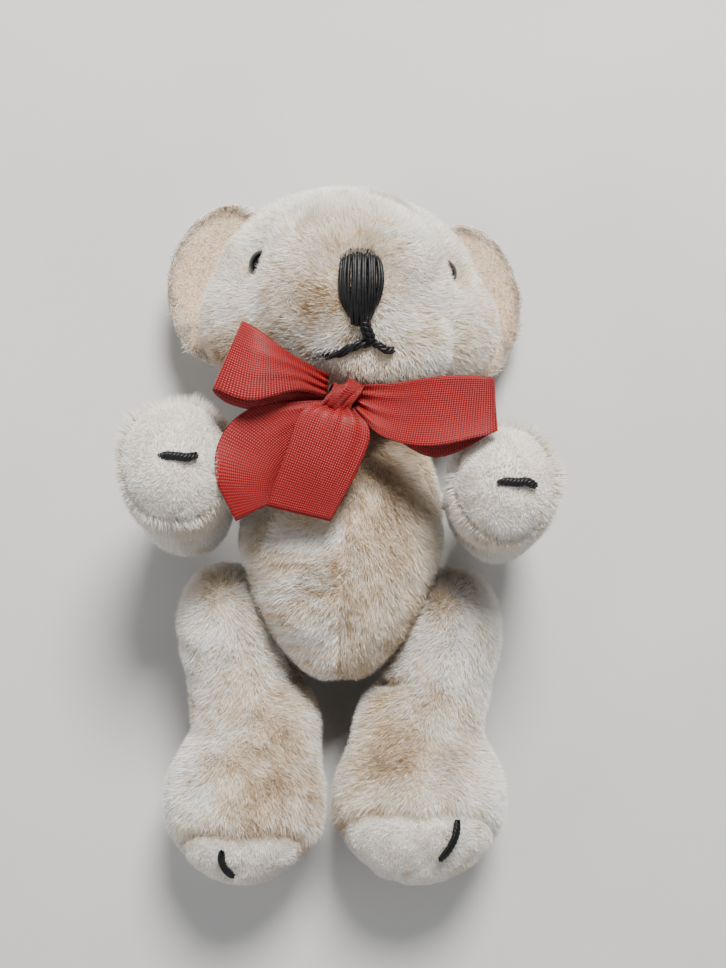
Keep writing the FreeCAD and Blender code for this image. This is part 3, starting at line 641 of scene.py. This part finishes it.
FEET = {"left": (-13.0, -36.6, 10.7), "right": (11.8, -36.2, 11.7)}      # out, along, half width
FOOT_UP = 11.9          # mm, height of a foot's middle
SOLE_EDGES = {"left": 7.9, "right": 5.9}
# The tan patches are painted shade where the nap turns from the light.
TAN_PATCHES = {"left": (-9.5, -30.0, 5.0, 8.0), "right": (6.6, -26.5, 5.5, 6.5)}     # x, y and their reach
FOLD_DEPTHS = {"left": 0.3, "right": 1.7}
FOLD_START = (2.9, -20.6)       # mm outward and along, the inner end of the fold
FOLD_SLOPE = 0.23
CLAWS = {
    "left": [(-15.3, -41.6), (-15.4, -43.0), (-14.9, -44.4), (-13.9, -45.6)],
    "right": [(16.6, -36.6), (16.4, -38.6), (15.6, -40.6), (14.4, -42.4)],
}


def sole_edge(p, side):
    """How far a point is past the seam round the sole, in millimetres."""
    q = p - np.array([*FEET[side][:2], FOOT_UP])
    past = -0.84 * q[:, 1] + 0.54 * q[:, 2] + 0.10 * np.abs(q[:, 0])
    return past - SOLE_EDGES[side] - 0.25 * waves(p, 5, 95)


def instep_fold(p, side, sign):
    """Depth of the crease that runs across the inner ankle."""
    outward = sign * p[:, 0]
    off = p[:, 1] - FOLD_START[1] - FOLD_SLOPE * (outward - FOLD_START[0])
    return FOLD_DEPTHS[side] * np.clip((12 - outward) / 5, 0, 1) * (p[:, 2] > 9) * np.exp(-(off / 0.9) ** 2)


def legs():
    """Stuffed legs with large feet, each with a knit sole and one claw stitch."""
    for side, sign in SIDES:
        out, along, half_width = FEET[side]
        hip = ((sign * 16.5, -11.4, 12.4), (5.7, 7.9, 7.9))
        shin = ((sign * 14.2, -21.0, 10.6), (6.2, 9.0, 8.4))
        ankle = ((sign * 9.9, -26.5, 10.4), (6.4, 7.4, 8.0))
        foot = ((out, along, FOOT_UP), (half_width, 11.2, 10.9))
        lumps = [hip, shin, ankle, foot]
        form, faces = skin_of(lumps, (sign * 14.6, -27.5, 11.5), blend=1.3, levels=6)
        form = softened(form, faces, 90 + sign)
        normals = normals_of(form, faces)
        form = form + normals * (-0.8 * np.exp(-(sole_edge(form, side) / 0.8) ** 2))[:, None]
        form = form - normals * instep_fold(form, side, sign)[:, None]
        body = f"leg_{side}"
        cover = add_mesh(f"leg_plush_{side}", form, faces, [BACKING], body, "cream_plush")
        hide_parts(f"leg_cover_{side}", f"leg_stuffing_{side}")

        def on_sole(p):
            return sole_edge(p, side) > 0

        def flow(p):
            return np.stack([0.25 * waves(p, 8, 96), -np.ones(len(p)), 0 * p[:, 0]], axis=1)

        def shade(p):
            """Painted sheen and shade: tan over the instep where the nap turns from the light, silver on the
            outer side where it catches it, and painted shade darker at the seam round the sole and in the
            fold.
            """
            x, y, z = p.T
            base = 0.70 + 0.14 * waves(p, 4.5, 97 + sign) + 0.08 * waves(p, 1.5, 98)
            # painted shade: the tan patch where the nap turns from the light
            tan_x, tan_y, reach_x, reach_y = TAN_PATCHES[side]
            patch = np.exp(-((x - tan_x) / reach_x) ** 2 - ((y - tan_y) / reach_y) ** 2)
            base -= 0.27 * patch * (z > 14)
            # painted sheen: lighter toward the outer side
            base += 0.26 * np.clip(sign * (x - out) / 9 - 0.15, 0, 1)
            # painted shade in the fold across the inner ankle
            base -= 0.35 * instep_fold(p, side, sign)
            base += 0.10 * (y > -20)
            # painted shade along the groove of the seam round the sole
            base -= 0.20 * np.exp(-((sole_edge(p, side) + 0.5) / 0.9) ** 2)
            return base

        def pressed(p):
            return clear_of_floor(p) * (1 - 0.35 * instep_fold(p, side, sign))

        pile(f"leg_pile_{side}", (form, faces), body, flow, shade, seed=100 + sign,
             keep=lambda p: ~on_sole(p), clear=pressed, lean=0.66)
        sole_faces = faces[on_sole(form[faces].mean(axis=1))]
        pad(f"sole_pad_knit_{side}", form, sole_faces, body, f"sole_pad_{side}", 110 + sign)
        foot_claw(side, form, body)


def foot_claw(side, form, body):
    """A curved stitch laid on the foot's upper surface."""
    path = [(x, y, skin_heights(form, x, y, 6, 9).max() + 0.95) for x, y in CLAWS[side]]
    stitch(f"foot_claw_thread_{side}", body, f"foot_claw_{side}", path, FOOT_CLAW_RADIUS)


def skin_heights(form, x, y, count, floor):
    """Heights of the count skin points nearest to x, y, seen from above, that lie over the floor given."""
    buried = 1000 * (form[:, 2] < floor)
    return form[np.argsort((form[:, 0] - x) ** 2 + (form[:, 1] - y) ** 2 + buried)[:count], 2]


# --- threads -------------------------------------------------------------------------------------

THREAD_UP = np.array([0.1, 0.2, 1.0])       # no thread runs this way, so it gives each a side


def smooth_path(points, steps):
    """Catmull-Rom through the points."""
    points = np.asarray(points, float)
    ends = np.vstack([2 * points[0] - points[1], points, 2 * points[-1] - points[-2]])
    path = []
    for number in range(1, len(ends) - 2):
        a, b, c, d = ends[number - 1:number + 3]
        for step in range(steps):
            t = step / steps
            path.append(0.5 * (2 * b + (c - a) * t + (2 * a - 5 * b + 4 * c - d) * t * t
                               + (3 * b - a - 3 * c + d) * t ** 3))
    path.append(points[-1])
    return np.array(path)


def sideways(path):
    """Two unit directions across a path at each of its points."""
    tangents = np.gradient(path, axis=0)
    tangents /= np.linalg.norm(tangents, axis=1)[:, None]
    side = np.cross(tangents, THREAD_UP)
    side /= np.linalg.norm(side, axis=1)[:, None]
    return side, np.cross(side, tangents)


def tube_rings(path, radius, sides, taper=0.55):
    """Rings of points round a path, thinner at the ends."""
    last = len(path) - 1
    steps = np.arange(len(path))
    ends = np.minimum(steps, last - steps) / max(1, 0.15 * len(path))
    sizes = radius * (taper + (1 - taper) * np.minimum(1, ends))
    angles = np.arange(sides) * 2 * math.pi / sides
    side, other = sideways(path)
    spread = np.cos(angles)[None, :, None] * side[:, None] + np.sin(angles)[None, :, None] * other[:, None]
    return (path[:, None] + sizes[:, None, None] * spread).reshape(-1, 3)


def tube_faces(rings, sides, offset=0):
    """Quads between rings of points, closed round each ring."""
    faces = []
    for ring in range(rings - 1):
        for side in range(sides):
            following = (side + 1) % sides
            faces.append([ring * sides + side, ring * sides + following, (ring + 1) * sides + following,
                          (ring + 1) * sides + side])
    return np.array(faces) + offset


def joined(parts):
    """One set of points and faces from several."""
    starts = np.cumsum([0] + [len(points) for points, _ in parts[:-1]])
    return (np.vstack([points for points, _ in parts]),
            np.vstack([faces + start for (_, faces), start in zip(parts, starts)]))


def twisted(path, radius, strands=4, turns=2.5):
    """Points and faces of floss: strands twisted about a path."""
    fine = smooth_path(path, 10)
    side, other = sideways(fine)
    share = np.linspace(0, 1, len(fine))
    parts = []
    for strand in range(strands):
        angle = 2 * math.pi * (turns * share + strand / strands)
        centre = fine + 0.52 * radius * (np.cos(angle)[:, None] * side + np.sin(angle)[:, None] * other)
        parts.append((tube_rings(centre, 0.56 * radius, 8), tube_faces(len(fine), 8)))
    return joined(parts)


def stitch(name, body, node, path, radius):
    """One claw stitch of floss in place of its CAD node."""
    made = add_mesh(name, *twisted(path, radius), [THREAD], body, "black_thread")
    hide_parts(node)


NOSE = (0.2, 33.3)              # mm, the nose's middle
NOSE_HALF_WIDTH, NOSE_HALF_HEIGHT = 2.75, 4.9
NOSE_THREADS = 15
NOSE_POINTS = 9                 # along each thread
MOUTH_RADII = (0.75, 0.55, 0.5)     # of the upright, left and right strands


def nose_and_mouth(skin):
    """Satin-stitched nose in upright threads over a mound, and an inverted Y of floss."""
    form = skin[0]

    def face_up(x, y):
        return skin_heights(form, x, y, 5, 20).mean()

    random = np.random.default_rng(5)
    threads = []
    for number in range(NOSE_THREADS):
        share = (number + 0.5) / NOSE_THREADS * 2 - 1
        wander = random.uniform(-0.24, 0.24, 3)
        top = NOSE[1] + NOSE_HALF_HEIGHT * (1 - 0.30 * share ** 4) * (1 + 0.03 * wander[0])
        low = NOSE[1] - NOSE_HALF_HEIGHT * math.sqrt(1 - 0.72 * share * share) * (0.98 + 0.05 * wander[1])
        path = []
        for t in np.arange(NOSE_POINTS) / (NOSE_POINTS - 1):
            y = top + (low - top) * t
            bow = math.sin(math.pi * t)
            shift = wander[2] * math.sin(math.pi * t * 1.4) - (0.25 * (1 - bow) + 0.8 * t ** 7) * share
            mound = 1.35 * max(bow, 0) ** 0.55 * (1 - 0.5 * share * share)
            z = face_up(*NOSE) - 0.35 + mound - 0.012 * (y - NOSE[1]) ** 2
            path.append((NOSE[0] + share * NOSE_HALF_WIDTH + shift, y, z))
        rings = tube_rings(smooth_path(path, 3), 0.27, 7, 0.8)
        threads.append((rings, tube_faces(len(rings) // 7, 7)))
    nose = add_mesh("nose_satin_stitch", *joined(threads), [THREAD], "head", "black_thread")
    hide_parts("nose_stitching")

    def on_face(x, y, lift=0.75):
        return (x, y, face_up(x, y) + lift)

    junction = on_face(2.0, 26.6, 0.35)
    routes = [[on_face(0.7, 29.4), on_face(1.3, 28.0), junction],
              [junction, on_face(0.0, 26.2, 0.95), on_face(-2.4, 25.2, 1.1), on_face(-5.2, 25.2, 0.9)],
              [junction, on_face(2.9, 26.2, 0.95), on_face(3.8, 25.7, 1.0), on_face(4.8, 25.8, 0.8)]]
    strands = joined([twisted(route, radius, 3, 1.5) for route, radius in zip(routes, MOUTH_RADII)])
    mouth = add_mesh("mouth_floss", *strands, [THREAD], "head", "black_thread")
    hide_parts("mouth_stitching")


# --- ears and eyes -------------------------------------------------------------------------------

EARS = {"left": (-15.6, 36.6, 9.8), "right": (16.8, 34.8, 9.8)}
EAR_RADIUS = 10.0
EAR_TALL = 1.16         # the ear's height over its width
EAR_SPLAY = 24          # degrees that each ear faces outward
EAR_RINGS, EAR_SPOKES = 14, 64
CUP_DEPTH, EAR_DEPTH = 1.3, 1.7     # mm, of the lining's hollow and of the plush back
BEAD_RADIUS = 1.85


def ears():
    """Round cupped ears: plush behind and over the rim, smooth lining in front."""
    radii = np.linspace(0.0, 1.0, EAR_RINGS)
    angles = np.arange(EAR_SPOKES) * 2 * math.pi / EAR_SPOKES
    radius, angle = np.meshgrid(radii, angles, indexing="ij")
    x = EAR_RADIUS * radius * np.cos(angle)
    y = EAR_RADIUS * EAR_TALL * radius * np.sin(angle)
    cup = CUP_DEPTH * radius ** 2
    faces = tube_faces(EAR_RINGS, EAR_SPOKES)
    for side, sign in SIDES:
        splay = math.radians(EAR_SPLAY * sign)
        centre = np.array(EARS[side])

        def set_in(z):
            turned_x = x * math.cos(splay) + z * math.sin(splay)
            turned_z = -x * math.sin(splay) + z * math.cos(splay)
            return np.stack([turned_x.ravel(), y.ravel(), turned_z.ravel()], axis=1) + centre

        front = set_in(cup + 0.3 * (1 - radius ** 6))
        back = set_in(cup - EAR_DEPTH * np.sqrt(np.clip(1 - radius ** 2.5, 0, 1)))
        front[:, 2] += 0.15 * waves(front, 4, 120 + sign) * (1 - radius.ravel())
        lining = add_mesh(f"ear_lining_nap_{side}", front, faces, [LINING], "head", "ear_lining")
        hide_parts(f"ear_lining_{side}")
        shell = add_mesh(f"ear_plush_{side}", back, faces[:, ::-1], [BACKING], "head", "cream_plush")
        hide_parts(f"ear_back_{side}")

        def flow(p):
            out = p - centre
            return out / (np.linalg.norm(out, axis=1)[:, None] + 1e-6)

        def fringe(p):
            """Longer and tufted at the lower outer rim."""
            out = (p - centre) / EAR_RADIUS
            low = np.clip(0.55 * sign * out[:, 0] - 0.6 * out[:, 1], 0, 1)
            return 1 + low * (0.55 + 0.45 * waves(p, 1.2, 126))

        back_skin = (back, np.vstack([faces[:, [0, 2, 1]], faces[:, [0, 3, 2]]]))
        pile(f"ear_pile_{side}", back_skin, "head", flow, lambda p: 0.84 + 0.14 * waves(p, 3, 125),
             seed=130 + sign, length=1.5, lean=0.55, clear=fringe)
        front_skin = (front, np.vstack([faces[:, [0, 1, 2]], faces[:, [0, 2, 3]]]))
        pile(f"ear_nap_{side}", front_skin, "head", flow, lambda p: 0.46 + 0.07 * waves(p, 4, 127),
             seed=140 + sign, length=0.5, lean=0.75, width=0.11, crush=0.3, slot="ear_lining")


def eyes(skin):
    """Glossy beads, a little flat in front, sunk in the dimples and facing the way the face does there."""
    points, faces = unit_ball(4)
    form = skin[0]
    normals = normals_of(*skin)
    for side, centre in EYES.items():
        near = np.argsort(((form - np.array(centre)) ** 2).sum(axis=1))[:12]
        outward = normals[near].mean(axis=0)
        outward /= np.linalg.norm(outward)
        ball = points * BEAD_RADIUS
        ball = ball - np.outer(np.clip(ball @ outward, 0, None) * 0.15, outward)
        seat = form[near].mean(axis=0) + 0.15 * outward
        bead = add_mesh(f"eye_bead_{side}", ball + seat, faces, [BEAD], "head", "eye_bead")
        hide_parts(f"eye_{side}")


# --- ribbon --------------------------------------------------------------------------------------

RIBBON_WIDTH = 10.0     # mm, as cut
RIBBON_PLY = 0.14
KNOT = (0.1, 19.75, 32.8)
KNOT_RADII = (1.9, 1.65)        # mm, along and up
KNOT_HALF_LENGTH = 2.0
COLLAR_RADIUS = 11.2
COLLAR_START, COLLAR_WIDTH = 16.4, 3.9      # mm along the neck, folded
COLLAR_RISE = 5.6       # mm that the collar comes forward to the knot
PLEAT_REACH = 3.2       # mm over which the pleats fade from the knot
STRIP_ACROSS = 20       # faces across a loop or a tail


def strip_faces(rows, columns):
    """Quads of a grid of points."""
    start = (np.arange(rows - 1)[:, None] * columns + np.arange(columns - 1)).ravel()
    return np.stack([start, start + 1, start + columns + 1, start + columns], axis=1)


def ribbon_sheet(name, grid, uv, node, offset=-1.0):
    """A grid of points as ribbon, its weave laid out by uv in millimetres."""
    quads = strip_faces(*grid.shape[:2])
    made = add_mesh(name, grid.reshape(-1, 3), quads, [RIBBON], "torso", "red_ribbon")
    layer = made.data.uv_layers.new(name="UVMap")
    layer.data.foreach_set("uv", np.stack(uv, axis=-1).reshape(-1, 2)[quads.ravel()].ravel())
    thick = made.modifiers.new("ply", "SOLIDIFY")
    thick.thickness = RIBBON_PLY * MM
    thick.offset = offset
    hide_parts(node)


def ribbon_piece(name, rails, steps, node, held, gathers, sag, seed):
    """A strip between two rails; gathers pleat it at the knot's end and sag lifts its middle."""
    first, second = (smooth_path(rail, steps) for rail in rails)
    share = np.linspace(0, 1, STRIP_ACROSS + 1)
    grid = first[:, None] * (1 - share)[None, :, None] + second[:, None] * share[None, :, None]
    lengths = np.linalg.norm(np.diff(grid[:, STRIP_ACROSS // 2], axis=0), axis=1)
    along = np.concatenate([[0], np.cumsum(lengths)])
    grid[:, :, 2] += sag * np.sin(math.pi * share)
    root = np.exp(-along / PLEAT_REACH) + np.exp(-(along[-1] - along) / PLEAT_REACH) * (held == "folded")
    pleats = np.sin(share * 2 * math.pi * 3.5 + seed) + 0.4 * np.sin(share * 2 * math.pi * 6.3 + 2 * seed)
    grid[:, :, 2] += gathers * root[:, None] * pleats[None, :]
    grid[:, :, 2] += 0.18 * waves(grid.reshape(-1, 3), 5.0, 150 + seed).reshape(grid.shape[:2])
    uv = np.broadcast_arrays(share * RIBBON_WIDTH, along[:, None])
    ribbon_sheet(name, grid, uv, node, 0)


LEFT_LOOP = (
    [(-1.6, 22.6, 32.8), (-6.6, 25.2, 35.2), (-10.6, 28.0, 36.0), (-12.6, 29.1, 35.4), (-11.8, 28.4, 34.2),
     (-6.5, 24.6, 33.4), (-1.6, 21.6, 32.0)],
    [(-1.9, 19.9, 33.0), (-5.6, 20.4, 35.0), (-11.5, 18.9, 36.8), (-16.2, 20.4, 35.6), (-14.2, 18.6, 33.8),
     (-8.0, 17.6, 32.6), (-2.0, 18.9, 31.9)],
)
RIGHT_LOOP = (
    [(1.6, 21.4, 32.7), (6.8, 21.7, 33.9), (12.5, 22.5, 36.2), (18.2, 22.5, 36.8), (18.9, 21.9, 35.6),
     (13.0, 20.8, 34.4), (1.8, 20.9, 32.0)],
    [(2.0, 18.0, 33.0), (5.4, 14.8, 34.2), (11.0, 13.6, 36.2), (18.0, 15.0, 36.8), (19.5, 15.6, 35.2),
     (11.6, 12.3, 33.6), (2.0, 18.4, 31.9)],
)
LEFT_TAIL = (
    [(-1.2, 19.4, 32.3), (-5.5, 19.2, 33.0), (-11.5, 18.2, 33.2), (-15.2, 14.6, 33.9), (-15.8, 9.4, 34.8),
     (-13.3, 3.6, 32.6)],
    [(-0.4, 17.4, 32.2), (-2.6, 15.2, 32.4), (-5.0, 12.6, 32.0), (-6.8, 10.6, 31.5), (-8.2, 8.6, 31.1),
     (-9.0, 6.0, 31.0)],
)
CENTRE_TAIL = (
    [(-1.5, 19.0, 32.9), (-4.9, 18.0, 34.4), (-6.8, 13.0, 34.0), (-9.4, 5.6, 32.2)],
    [(1.5, 18.5, 33.0), (3.8, 15.2, 34.2), (2.0, 9.8, 33.5), (-1.1, 3.8, 31.9)],
)


def bow():
    """Two folded loops, two hanging tails, the knot over their roots and the collar under it."""
    ribbon_piece("bow_loop_taffeta_left", LEFT_LOOP, 10, "bow_loop_left", "folded", 0.5, 0.35, 1)
    ribbon_piece("bow_loop_taffeta_right", RIGHT_LOOP, 10, "bow_loop_right", "folded", 0.5, -0.5, 2)
    ribbon_piece("bow_tail_taffeta_left", LEFT_TAIL, 10, "bow_tail_left", "hung", 0.3, 0.35, 3)
    ribbon_piece("bow_tail_taffeta_centre", CENTRE_TAIL, 12, "bow_tail_centre", "hung", 0.4, 0.35, 4)
    knot()
    collar()


def knot():
    """The ribbon's own wrap round the crossing, pleated along its length."""
    a, s = np.meshgrid(np.linspace(0, 2 * math.pi, 29), np.linspace(-1, 1, 23), indexing="ij")
    crease = 0.30 * np.sin(s * 5.6 + 2.4 * np.sin(a)) + 0.14 * np.sin(s * 12 + 3 * a)
    pinch = 1 - 0.20 * s * s + 0.10 * np.sin(2 * a + 2 * s)
    x = KNOT[0] + KNOT_HALF_LENGTH * s + 0.75 * np.cos(a) + 0.25 * np.sin(2 * a)
    y = KNOT[1] + (KNOT_RADII[0] * pinch + crease) * np.cos(a)
    z = KNOT[2] + (KNOT_RADII[1] * pinch + crease) * np.sin(a)
    uv = ((s + 1) * RIBBON_WIDTH / 2, a * 2.3)
    ribbon_sheet("bow_knot_taffeta", np.stack([x, y, z], axis=2), uv, "bow_knot")


def collar():
    """The ribbon round the neck, folded narrow in soft creases and drawn forward to the knot."""
    a, s = np.meshgrid(np.linspace(0, 2 * math.pi, 73), np.linspace(0, 1, 11), indexing="ij")
    rise = COLLAR_RISE * np.clip(np.sin(a), 0, 1) ** 6 * (1 - 0.2 * s)
    creases = 0.22 * np.sin(s * 11 + 2 * np.sin(a)) + 0.15 * np.sin(3 * a)
    radius = COLLAR_RADIUS - 2.4 * s + rise + creases
    along = COLLAR_START + COLLAR_WIDTH * s + 0.25 * np.sin(2 * a)
    grid = np.stack([radius * np.cos(a), along, NECK_UP + radius * np.sin(a)], axis=2)
    uv = (s * RIBBON_WIDTH, a * 10)
    ribbon_sheet("ribbon_collar_taffeta", grid, uv, "ribbon_collar")


# --- CAD pieces that stay ------------------------------------------------------------------------

def finish_hardware():
    """Finishes for the CAD nodes that are left showing."""
    steel, tape, plastic = steel_material(), tape_material(), joint_material()
    for name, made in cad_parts.items():
        if name == "split_ring":
            chosen = steel
        elif name == "hanging_tab":
            chosen = tape
        elif any(word in name for word in ("disc", "washer", "nut")):
            chosen = plastic
        else:
            continue
        made.data.materials.clear()
        made.data.materials.append(chosen)


# --- build ---------------------------------------------------------------------------------------

make_camera()
make_stage()
PILE = pile_materials()
BACKING = cloth_base("plush_backing", linear(203, 177, 143), linear(231, 211, 183))
LINING = cloth_base("ear_lining", linear(226, 198, 170), linear(240, 218, 194), 1200, depth=0.0001)
KNIT = cloth_base("pad_knit", linear(226, 219, 208), linear(246, 243, 238), 1500, depth=0.0002)
THREAD = thread_material()
BEAD = bead_material()
RIBBON = ribbon_material()
torso()
head_skin = head()
ears()
eyes(head_skin)
nose_and_mouth(head_skin)
arms()
legs()
bow()
finish_hardware()
